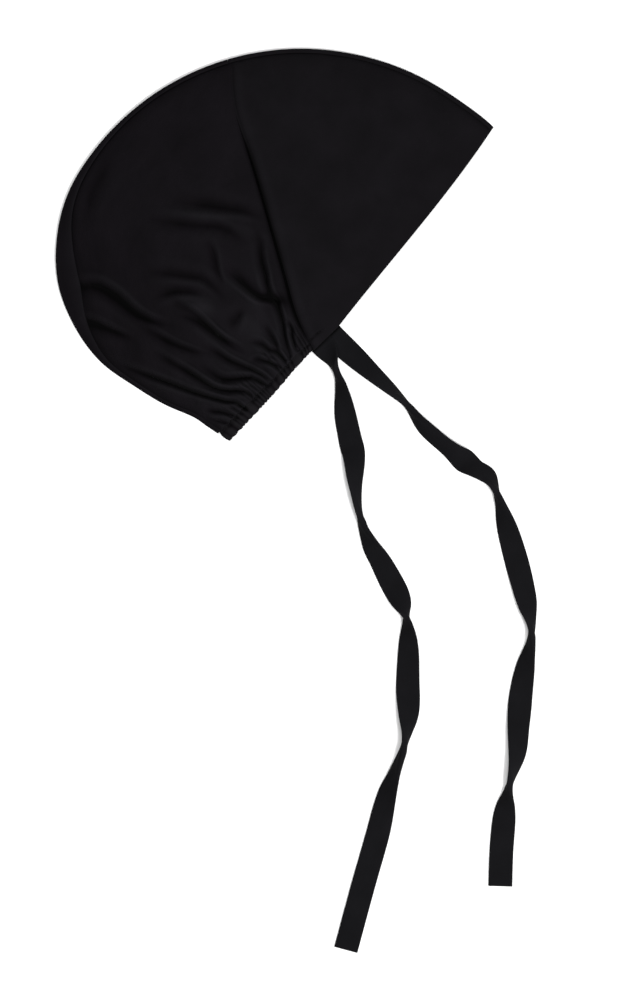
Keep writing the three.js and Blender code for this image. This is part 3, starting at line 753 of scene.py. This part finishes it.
SEWN_FOLDS = [
    (2.1, 6.0, 0.3, [(-19, 98), (-26, 84), (-37, 73), (-46, 60), (-53, 52), (-56, 40),
        (-66, 25), (-72, 18), (-78, 10), (-81, 5)]),
    (1.4, 4.6, 0, [(-61, 31), (-63, 20), (-68, 14), (-73, 7), (-74, 3)]),
    (1.9, 5.0, 0.4, [(-121, 66), (-117, 53), (-115, 40), (-111, 27), (-107, 13), (-106, 4)]),
    (2.0, 5.6, 0, [(-134, 57), (-132, 43), (-130, 34), (-122, 25), (-114, 17), (-112, 9), (-111, 4)]),
    (1.9, 5.6, 0.3, [(-150, 92), (-146, 72), (-143, 57), (-141, 43), (-139, 33), (-133, 23),
        (-126, 15), (-123, 5)]),
    (1.7, 7.0, 0, [(-178, 112), (-169, 88), (-161, 67), (-153, 45), (-146, 29), (-142, 21),
        (-137, 13), (-136, 5)]),
    (1.6, 4.8, 0, [(-159, 30), (-154, 23), (-149, 15), (-146, 5)]),
    (1.5, 3.4, 0, [(-166, 30), (-161, 21), (-157, 13), (-155, 6)]),
    (1.6, 5.2, 0, [(-94, 39), (-89, 30), (-88, 22), (-86, 15), (-86, 5)]),
    (1.7, 4.2, 0.4, [(-74, 39), (-77, 31), (-80, 23), (-84, 15), (-86, 6)]),
    (1.4, 4.8, 0.4, [(-105, 25), (-100, 24), (-97, 18), (-94, 11), (-93, 5)]),
    (1.2, 2.4, 0, [(-97, 20), (-96, 13), (-96, 5)]),
    (1.2, 3.6, 0, [(-126, 15), (-126, 9), (-127, 4)]),
    (1.3, 3.6, 0, [(-138, 14), (-137, 9), (-137, 4)]),
    (1.3, 3.6, 0, [(-113, 15), (-112, 10), (-111, 4)]),
]
# Soft raised or sunk places: the middle's u and v, two half sizes, their turn in degrees, how high
# and how much painted highlight they take (painted shade where it is below 0)
SWELLS = [
    (-97, 85, 11, 6, 115, 2.0, 0.85),
    (-26, 98, 18, 4, -72, 1.4, 0.2),
    (-67, 58, 17, 4, 80, 1.4, 0.3),
    (-84, 42, 14, 8, 60, 1.6, 0.3),
    (-56, 44, 10, 5.5, -58, -2.6, -1.5),
]
# Across a fold, in its widths: a crease in the middle and a soft shoulder on each side. Along it, in
# shares of its length: where it begins, how it tapers, and how it ends
SHOULDER = {"most": 0.34, "at": 2.1, "run": 1}
FOLD_START = (-0.05, 0.45)
LOOSE_END = {"over": (0.65, 1.05), "lost": 1}
SEWN_END = {"over": (0.82, 1), "lost": 0.55}
FOLD_REACH = {"full": 12, "end": 30}
FOLD_LEAN = 0.55
FOLD_TAPER = (1.45, 0.75)
CREASE_ROUND = 0.2
CREASE_SHADE = {"most": 1.1, "run": 0.85}
DARKEST_DEPTH = 5.5
FOLDS_CLEAR = {"of_seam": (1, 5), "of_edge": (3, 12)}

crown_folds = []
for rows, end in ((LOOSE_FOLDS, LOOSE_END), (SEWN_FOLDS, SEWN_END)):
    crown_folds += [(wide, deep, lean, spline(line, 14), end) for wide, deep, lean, line in rows]


def fold_relief(u, v):
    """Height that the drawn folds add, and their painted light: painted shade in creases, highlights on
    shoulders and swells.
    """
    relief = np.zeros(np.shape(u))
    shade = np.zeros(np.shape(u))
    for wide, deep, lean, line, end in crown_folds:
        low, high = line.min(0) - FOLD_REACH["end"], line.max(0) + FOLD_REACH["end"]
        near = (u > low[0]) & (u < high[0]) & (v > low[1]) & (v < high[1])
        distance, share, side = nearest(line, u[near], v[near])
        fade = smooth_step(share, *FOLD_START) * (1 - end["lost"] * smooth_step(share, *end["over"]))
        fade *= 1 - smooth_step(distance, FOLD_REACH["full"], FOLD_REACH["end"])
        away = distance / wide / (1 - FOLD_LEAN * lean * side) / blend(*FOLD_TAPER, share)
        crease = np.exp(CREASE_ROUND - np.hypot(away, CREASE_ROUND))
        shoulder = (1 + lean * side) * bump(away, **SHOULDER)
        relief[near] += deep * fade * (shoulder - crease)
        # Painted shade in the crease and a painted highlight on the shoulders, fuller for deeper folds
        dark = min(deep / DARKEST_DEPTH, 1)
        shade[near] += dark * fade * (shoulder - bump(away, **CREASE_SHADE))
    for middle_u, middle_v, long, wide, degrees, high, pale in SWELLS:
        turn = math.radians(degrees)
        du, dv = u - middle_u, v - middle_v
        along = (du * math.cos(turn) + dv * math.sin(turn)) / long
        across = (dv * math.cos(turn) - du * math.sin(turn)) / wide
        bulge = np.exp(-along * along - across * across)
        # Painted highlight on raised swells, painted shade on sunk ones
        relief += high * bulge
        shade += pale * bulge
    return relief, shade


def crown_height(u, v):
    """Height of the upper crown's middle, from under the panel's edge out over its own folds."""
    beside = seam_distance(u, v)
    tucked = panel_height(u, v) - turned_down(u, v) - CLOTH - TUCK_GAP
    dip = sum(bump(beside, **row) for row in PLEAT_DIPS)
    folds = fold_relief(u, v)[0] * smooth_step(beside, *FOLDS_CLEAR["of_seam"])
    folds *= smooth_step(edge_distance(u, v), *FOLDS_CLEAR["of_edge"])
    open_height = loft(u, v) - dip * pleat_strength(u, v) + folds
    return blend(tucked, open_height, smooth_step(beside, 0, TUCK_RUN))


def pleats(s):
    """Round-topped pleats with creased valleys, unevenly spaced along the elastic."""
    uneven = sum(shift * np.sin(rate * s + start) for shift, rate, start in UNEVEN)
    wave = np.sin(math.pi * GATHERS * (s + uneven * window(s, **GATHERED)))
    return np.sqrt(wave * wave + PLEAT_ROUND)


def gather(s, t):
    """Height of the pleats beside the casing, about -1 in their valleys and 1 on top, and their fade."""
    waves = np.prod([np.sin(rate * s + start) for rate, start in GATHER_SIZE["waves"]], 0)
    size = GATHER_SIZE["middle"] + GATHER_SIZE["range"] * waves
    run = GATHER_RUN["least"] + GATHER_RUN["more"] * size
    return (2 * pleats(s) - GATHER_MIDDLE) * size, 1 - smooth_step(t, 0.0, run)


def casing_mouth(share):
    """The open edge of the casing, which sags outwards towards the nape tip."""
    straight = between((HEM_REAR[0] - 1, HEM_REAR[1] + 1), NAPE_TIP)(share)
    return straight - np.outer(smooth_step(share, *CASING_SAG["over"]), (0, CASING_SAG["deep"]))


def nape_end(inset_of):
    """How far inside the fold outline the crown ends at the nape tip."""
    return float(inset_of(np.array(NAPE_ANGLE)))


def sewn_share(s, tuck, inset):
    """The place along the casing that a point of the crown's gathered edge is sewn to."""
    run = HEM_REAR[0] + CASING_START - float(outline(np.array(NAPE_ANGLE), 0)[0])
    return s - (tuck * (1 - s) + inset * s) / run


def casing_inner(share):
    """The stitched line between casing and crown, drawn in and out by the gathers."""
    start = HEM_REAR[0] + CASING_START, HEM_REAR[1] + CASING_WIDTH
    straight = between(start, outline(np.array(NAPE_ANGLE), 0))(share)
    wave = CASING_WAVE * window(share, **CASING_WAVES) * (2 * pleats(share) - GATHER_MIDDLE)
    return straight + np.outer(wave, (0, 1))


def crown_plan(inset_of, tuck, near_in=0):
    """Plan of one half of the crown: from the casing out to the fold, and from panel seam to nape."""
    turn = math.degrees(tuck / float(reach_at(np.array(PANEL_ANGLE))))

    def near(s):
        return casing_inner(sewn_share(s, tuck, nape_end(inset_of))) + (0, CASING_GAP + near_in)

    def far(s):
        angle = blend(PANEL_ANGLE - turn, CORNER_ANGLE, s)
        return outline(angle, inset_of(angle))

    def last(t):
        angle = blend(NAPE_ANGLE, CORNER_ANGLE, t)
        return outline(angle, inset_of(angle))

    return patch(near, far, along_line(panel_seam_line), last)


# Shaded and lit copies of the crown's black, for its painted shade and painted light
CROWN_SHADED = (0.0038, 0.0026, 0.0040)
CROWN_LIT_BLACK = (0.0037, 0.0033, 0.0041)
# Painted light: darker towards the crown's top and back, paler by the gathers, painted shade at its seams
CROWN_PAINTED_TONE = {"top": -0.08, "back": -0.3, "over": (40, 170), "gathers": 0.08, "run": 70}
CROWN_SEAM_SHADE = {"most": 1, "at": 1, "run": 2.2}
CROWN_CENTRE_SHADE = {"most": 0.22, "run": 4}
FOLD_SHADE_CLEAR = (4, 12)
GATHERS_CLEAR = {"of_seam": (0, 3), "of_edge": (3, 10)}
# Painted shade in the pleat valleys, painted highlights on their tops and along the stitched casing
GATHER_SHADE = {"dark": 0.75, "pale": 0.25, "stitched": 0.35, "run": 1 / 70}
CROWN_CRINKLES = 0.6 * MM
CROWN_COLUMNS = 280
CROWN_ROWS = 150
CROWN_CROWDING = 1.25
CROWN_GRAIN = np.array([240, 230])

crown_jersey = jersey("crown_jersey", CROWN_SHADED, CROWN_LIT_BLACK, CROWN_CRINKLES)


def crown_upper():
    plan = crown_plan(upper_inset, TUCK)
    corners, faces = grid_faces(CROWN_COLUMNS, CROWN_ROWS)
    s = corners[:, 0] / CROWN_COLUMNS
    t = (corners[:, 1] / CROWN_ROWS) ** CROWN_CROWDING
    places = plan(s, t)
    u, v = places.T
    pleat, fade = gather(sewn_share(s, TUCK, nape_end(upper_inset)), t)
    pleat = pleat * fade * smooth_step(edge_distance(u, v), *GATHERS_CLEAR["of_edge"])
    pleat *= smooth_step(seam_distance(u, v), *GATHERS_CLEAR["of_seam"])
    height = crown_height(u, v) + GATHER_HEIGHT * pleat - turned_in(u, v)
    points = np.column_stack([u, v, height])
    # Painted light: painted shade in creases and pleat valleys, painted highlights on their tops and along
    # the casing
    painted_light = fold_relief(u, v)[1] * smooth_step(edge_distance(u, v), *FOLD_SHADE_CLEAR)
    painted_light += np.where(pleat < 0, GATHER_SHADE["dark"], GATHER_SHADE["pale"]) * pleat
    painted_light += GATHER_SHADE["stitched"] * np.exp(-t / GATHER_SHADE["run"])
    # Painted shade towards the top and back, painted shadow under the panel's edge, painted shade at the
    # centre seam
    painted_tone = blend(CROWN_PAINTED_TONE["top"], CROWN_PAINTED_TONE["back"], smooth_step(-u, *CROWN_PAINTED_TONE["over"]))
    painted_light += blend(painted_tone, CROWN_PAINTED_TONE["gathers"], bump(v, 1, CROWN_PAINTED_TONE["run"]))
    painted_light -= pleat_strength(u, v) * bump(np.maximum(seam_distance(u, v), 0), **CROWN_SEAM_SHADE)
    painted_light -= bump(centre_distance(u, v), **CROWN_CENTRE_SHADE)
    grain = CROWN_GRAIN * np.column_stack([s, t])
    return cloth_piece("crown_upper_cloth", points, faces, grain, painted_light, crown_jersey)


upper_crown = crown_upper()
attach(upper_crown, "root")
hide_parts("crown_upper")

# Crown, under half: the same jersey, flat on the surface, gathered on the casing and going round
# the fold outline to the centre seam along the top, the back and the nape.
UNDER_COLUMNS = 150
UNDER_ROWS = 60
UNDER_GATHER_HEIGHT = 1.2
UNDER_GATHERS = 11
UNDER_GATHER_FADE = (0.02, 0.32)
SEAM_ANGLE_GAP = 0.2
UNDER_SEAM_IN = 1.6
# Painted shade over the under half's wrap, with a painted highlight on its turned edge
UNDER_SHADE = {"flat": -0.25, "ridge": 0.35, "over": (0.75, 1)}


def crown_under():
    plan = crown_plan(under_inset, -SEWN_GAP, UNDER_SEAM_IN)

    def has_cell(column, row):
        return column < UNDER_COLUMNS or row < UNDER_ROWS

    def name_of(column, row):
        past = column - UNDER_COLUMNS
        return (UNDER_COLUMNS, UNDER_ROWS + past) if past > 0 and row == UNDER_ROWS else (column, row)

    corners, faces = grid_faces(UNDER_COLUMNS + WRAP_ROWS, UNDER_ROWS + WRAP_ROWS, has_cell, name_of)
    column, row = corners.T
    s, t = np.minimum(column / UNDER_COLUMNS, 1), np.minimum(row / UNDER_ROWS, 1)
    u, v = plan(s, t).T
    wave = 0.5 - 0.5 * np.cos(2 * math.pi * UNDER_GATHERS * s)
    gathered = UNDER_GATHER_HEIGHT * wave * (1 - smooth_step(t, *UNDER_GATHER_FADE))
    flat = np.column_stack([u, v, CLOTH / 2 + gathered])
    past_column = np.maximum(column - UNDER_COLUMNS, 0)
    past_row = np.maximum(row - UNDER_ROWS, 0)
    top = wrap_point(blend(PANEL_ANGLE + SEAM_ANGLE_GAP, CORNER_ANGLE, s), past_row, crown_height)
    back = wrap_point(blend(NAPE_ANGLE, CORNER_ANGLE, t), past_column, crown_height)
    points = np.where((past_column > 0)[:, None], back, flat)
    points = np.where((past_row > 0)[:, None], top, points)
    grain = CROWN_GRAIN * np.column_stack([s, t]) + WRAP_GRAIN * np.column_stack([past_column, past_row])
    # Painted shade, with a painted highlight on the turned edge at the centre seam
    ridge = smooth_step(np.maximum(past_column, past_row) / WRAP_ROWS, *UNDER_SHADE["over"])
    painted_light = UNDER_SHADE["flat"] + UNDER_SHADE["ridge"] * ridge
    return cloth_piece("crown_under_cloth", points, faces, grain, painted_light, crown_jersey)


under_crown = crown_under()
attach(under_crown, "root")
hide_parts("crown_under")

# Nape casing: a narrow tunnel of jersey with elastic inside, ruffled by it all along. It runs from
# the upper tie corner round the nape tip and back under to the lower one.
CASING_THICK = 2.4
CASING_BEND = 1.8
CASING_LIFT = 1.2
RUFFLE_PUFF = 0.7
RUFFLE_REACH = 0.3
CASING_STEPS = 9
CASING_BEND_STEPS = 16
CASING_RING = 28
CASING_ROUND = {"across": 0.75, "rise": 0.6}
CASING_PRESSED = (0.55, 0.95)
# Painted shade in the ruffles' valleys and painted highlights on their puffs
CASING_SHADE = {"dark": 0.7, "pale": 0.3}
CASING_CORNER = {"upper": (0, 0.05), "under": (0, 0.02)}
CASING_CRINKLES = 0.4 * MM
TIP_RADIUS = 1.0
TIP_FROM = 0.75
CASING_STITCH_LINE = 0.84


def rounded(wave, power):
    """A sine or cosine bent to the power, so that a ring of them is a rounded flat section."""
    return np.sign(wave) * np.abs(wave) ** power


def loft_sections(rings):
    """Quads through a row of closed sections, with one face over each end."""
    count, size, _ = rings.shape
    index = np.arange(count * size).reshape(count, size)
    turned = np.roll(index, -1, axis=1)
    quads = np.stack([index[:-1], turned[:-1], turned[1:], index[1:]], -1).reshape(-1, 4).tolist()
    quads += [list(reversed(index[0])), list(index[-1])]
    return rings.reshape(-1, 3), quads


# The casing's lit black, paler than the crown's, is painted light
CASING_LIT_BLACK = (0.0052, 0.0048, 0.0055)
casing_jersey = jersey("casing_jersey", CROWN_SHADED, CASING_LIT_BLACK, CASING_CRINKLES)


def nape_casing():
    """The tunnel, over the upper layer, round the nape tip and back under the cap, and its stitch line."""
    steps = CASING_STEPS * GATHERS
    last = 1 - (CASING_BEND + CASING_THICK / 2) / (HEM_REAR[0] - NAPE_TIP[0])
    turn = 2 * math.pi * np.arange(CASING_RING) / CASING_RING
    # A flat tunnel: full and round at its open edge, pressed flat where it is stitched to the crown
    across = 0.5 - 0.5 * rounded(np.cos(turn), CASING_ROUND["across"])
    rise = rounded(np.sin(turn), CASING_ROUND["rise"])
    pressed = smooth_step(across, *CASING_PRESSED)
    radius = blend(CASING_BEND, TIP_RADIUS, pressed)
    centre = blend(CASING_THICK / 2 + CASING_BEND, CLOTH / 2 + TIP_RADIUS, pressed)
    rings = []
    ring_painted_light = []

    def section(share, out, height, lean, puff):
        mouth = casing_mouth(np.array([share]))[0]
        inner = casing_inner(np.array([share]))[0] + (0, UNDER_SEAM_IN * lean / math.pi)
        reach = (mouth - inner) / CASING_WIDTH * RUFFLE_REACH * puff
        half = blend(CASING_THICK / 2 + RUFFLE_PUFF * puff, CLOTH / 2, pressed)
        flat = blend(mouth, inner, across[:, None]) + reach * (1 - across[:, None])
        lift = rise * half
        rings.append(np.column_stack([flat[:, 0] - out - lift * math.sin(lean), flat[:, 1],
                                      height + lift * math.cos(lean)]))
        # Painted shade in the ruffles' valleys and painted highlights on their puffs
        ring_painted_light.append(np.full(CASING_RING, CASING_SHADE["dark" if puff < 0 else "pale"] * puff))

    def puff_at(share):
        return float(gather(np.array(share), np.array(0.0))[0])

    def top_height(share):
        """The casing's middle follows the crown's gathered edge, and the round tip at its end."""
        inner = casing_inner(np.array([share]))[0]
        beside = inner[:1], inner[1:] + CASING_GAP
        puff = puff_at(share) * smooth_step(share, *CASING_CORNER["upper"])
        edge = float(crown_height(*beside)[0]) + GATHER_HEIGHT * puff
        mouth = float(loft(*beside)[0]) + CASING_LIFT
        to_tip = smooth_step(share, TIP_FROM, 1)
        return blend(blend(mouth, edge, pressed), centre + radius, to_tip)

    for step in range(steps + 1):
        share = last * step / steps
        section(share, 0, top_height(share), 0, puff_at(share))
    for step in range(1, CASING_BEND_STEPS):
        bend = math.pi * step / CASING_BEND_STEPS
        section(last, radius * math.sin(bend), centre + radius * math.cos(bend), bend, puff_at(last))
    for step in range(steps, -1, -1):
        share = last * step / steps
        puff = puff_at(share) * smooth_step(share, *CASING_CORNER["under"])
        section(share, 0, centre - radius, math.pi, puff)
    rings = np.array(rings)
    rings[..., 2] -= np.minimum(rings[..., 2].min(1), 0)[:, None]
    points, quads = loft_sections(rings)
    run = np.repeat(np.arange(len(rings)) * WRAP_GRAIN, CASING_RING)
    grain = np.column_stack([run, np.tile(across * CASING_WIDTH, len(rings))])
    painted_light = np.concatenate(ring_painted_light)
    piece = closed_piece("nape_casing_cloth", to_frame(points), quads, grain, painted_light, casing_jersey)
    sewn = int(np.argmin(np.abs(across - CASING_STITCH_LINE) + (rise < 0)))
    return piece, to_frame(rings[2:steps, sewn])


casing, casing_sewn = nape_casing()
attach(casing, "root")
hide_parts("nape_casing")
stitches("casing_stitches", casing_sewn, seed=8)

# Ties: two flat doubled strips of jersey, sewn into the tie corners under the hem. They lie loose
# on the surface and turn over as they go, bunched where they stand on edge.
TIE_WIDTH = 19.2
TIE_THICK = 1.6
TIE_BUNCH = {"share": 0.38, "power": 1.5}
TIE_CRUSH = {"thick": 3.8, "power": 3}
TIE_SECTIONS = 420
TIE_RING = 32
TIE_ROUND = {"side": 0.7, "rise": 0.4}
TIE_CRINKLES = 0.3 * MM
# Painted light on the ties: highlights along the edges, on the twists and their ridges, shade past each
# twist
TIE_EDGE = {"pale": 0.2, "power": 8}
DRAWN_MIDDLE = (-1.6, 0.25)
TIE_CUP = {"high": 0.5, "waves": [(23, 0.7), (61, 1.9)]}
TWIST_SNAP = 0.15
TIE_SETTLE = 0.68
TIE_RIDGE = {"side": -0.45, "wide": 0.15, "high": 0.5, "pale": 0.45}
RIDGE_FADE = {"rises": (90, 102), "falls": (112, 150)}
TWIST_SHADE = {"on_edge": 0.15, "sides": 0.3}
HEM_SHADOW = {"dark": 1.0, "run": 1.9}

# Each tie's middle line as drawn: x and y in mm, its turn in degrees, and how far it is lifted
TIE_UPPER = [
    (12.4, 130.8, 0, 3.7), (15.0, 128.6, 0, 3.6), (20.0, 124.4, -2, 3.5), (26.4, 114.8, -44, 2.4),
    (31.2, 103.6, -88, 0), (34.8, 92.4, -64, 0), (38.4, 68.4, -23, 0), (42.4, 48.4, -8, 0),
    (45.2, 36.4, 16, 0), (46.4, 12.4, 54, 0), (50.4, -13.2, 92, 0), (58.8, -35.6, 135, 0),
    (66.4, -48.4, 154, 0), (74.4, -63.6, 174, 0), (80.8, -75.6, 194, 0), (85.2, -86.0, 228, 0),
    (87.9, -98.0, 290, 0), (88.8, -118.0, 330, 0), (88.4, -148.0, 354, 0), (88.8, -171.6, 390, 0),
    (85.5, -195.6, 450, 0), (77.3, -219.6, 481, 0), (71.8, -235.6, 505, 0), (64.1, -267.6, 534, 0),
    (52.8, -307.6, 540, 0), (38.8, -359.4, 540, 0),
]
TIE_UNDER = [
    (21.6, 138.8, 0, 1.5), (27.6, 132.2, 4, 1.5), (39.8, 120.4, 10, 0.4), (58.4, 103.4, 38, 0),
    (76.0, 87.8, 62, 0), (87.6, 76.4, 90, 0), (101.2, 58.8, 128, 0), (124.8, 38.7, 143, 0),
    (141.9, 25.8, 215, 0), (153.0, 18.8, 226, 0), (159.6, 5.4, 272, 0), (167.2, -19.6, 326, 0),
    (174.0, -43.6, 352, 0), (180.3, -67.6, 374, 0), (184.0, -83.6, 394, 0), (187.2, -106.0, 450, 0),
    (182.4, -131.6, 501, 0), (178.8, -155.6, 530, 0), (176.8, -179.6, 558, 0), (175.5, -203.6, 582, 0),
    (169.6, -227.6, 632, 0), (166.6, -243.6, 682, 0), (164.9, -259.6, 712, 0), (163.2, -282.0, 720, 0),
    (162.4, -308.5, 720, 0),
]
TIE_BLACK = (0.0038, 0.0037, 0.0044)
tie_jersey = jersey("tie_jersey", TIE_BLACK, TIE_BLACK, TIE_CRINKLES)


def hem_shadow(x, y):
    """The dark line on a tie where it comes out from under the hem at the corner."""
    du, dv = x - CAP_PLACE[0], y - CAP_PLACE[1]
    u = du * math.cos(CAP_TURN) + dv * math.sin(CAP_TURN)
    v = dv * math.cos(CAP_TURN) - du * math.sin(CAP_TURN)
    edge = np.interp(u, (HEM_REAR[0], HEM_FRONT[0]), (HEM_REAR[1], HEM_FRONT[1]))
    return HEM_SHADOW["dark"] * np.exp(-(((edge - v) / HEM_SHADOW["run"]) ** 4))


def tie(name, route):
    """One tie: a flat rounded section carried along the route, rolled, bunched and laid down."""
    middle = np.array(route).T
    run = np.append(0, np.cumsum(np.hypot(*np.diff(middle[:2]))))
    x_at, y_at, turn_at, lift_at = (track(run, values) for values in middle)
    at = np.linspace(0, run[-1], TIE_SECTIONS + 1)
    heading = np.arctan2(y_at(at + 1) - y_at(at - 1), x_at(at + 1) - x_at(at - 1))
    roll = -np.radians(turn_at(at))
    roll -= TWIST_SNAP * np.sin(2 * roll)
    on_edge = np.abs(np.sin(roll))
    half = TIE_WIDTH / 2 * (1 - TIE_BUNCH["share"] * on_edge ** TIE_BUNCH["power"])
    thick = TIE_THICK / 2 + TIE_CRUSH["thick"] / 2 * on_edge ** TIE_CRUSH["power"]
    turn = 2 * math.pi * np.arange(TIE_RING) / TIE_RING
    side = rounded(np.cos(turn), TIE_ROUND["side"])
    rise = rounded(np.sin(turn), TIE_ROUND["rise"])
    # The strip is never quite flat: its edges curl a little, first one way and then the other
    cup = TIE_CUP["high"] * np.prod([np.sin(at / long + start) for long, start in TIE_CUP["waves"]], 0)
    # Past each twist the cloth keeps a lengthwise ridge for a while, with a painted highlight along it
    past_twist = np.degrees(-roll) % 180 * (roll < 0)
    folded = window(past_twist, **RIDGE_FADE)
    ridge = np.outer(folded, bump(side, 1, TIE_RIDGE["wide"], TIE_RIDGE["side"]))
    rise = np.outer(thick, rise) + np.outer(cup, side * side) + TIE_RIDGE["high"] * ridge * np.sign(rise)
    out = np.outer(half * np.cos(roll), side) - rise * np.sin(roll)[:, None]
    up = np.outer(TIE_SETTLE * half * np.sin(roll), side) + rise * np.cos(roll)[:, None]
    up += (np.maximum(lift_at(at), 0) - up.min(1))[:, None]
    x = (x_at(at) - DRAWN_MIDDLE[0])[:, None] - out * np.sin(heading)[:, None]
    y = (y_at(at) - DRAWN_MIDDLE[1])[:, None] + out * np.cos(heading)[:, None]
    points, quads = loft_sections(np.stack([x, y, up], -1))
    grain = np.column_stack([np.tile(side * TIE_WIDTH / 2, len(at)), np.repeat(at, TIE_RING)])
    # Painted light: highlights along the edges, on each twist and its ridge, painted shade past it, the
    # hem's shadow
    painted_light = np.outer(np.ones(len(at)), TIE_EDGE["pale"] * np.abs(side) ** TIE_EDGE["power"])
    twist = on_edge**2 * (TWIST_SHADE["on_edge"] - TWIST_SHADE["sides"] * np.sin(2 * roll))
    painted_light += twist[:, None] + TIE_RIDGE["pale"] * ridge - hem_shadow(x, y)
    piece = closed_piece(name, points * MM, quads, grain, painted_light.ravel(), tie_jersey)
    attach(piece, "root")
    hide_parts(name.removesuffix("_cloth"))


tie("tie_upper_cloth", TIE_UPPER)
tie("tie_under_cloth", TIE_UNDER)
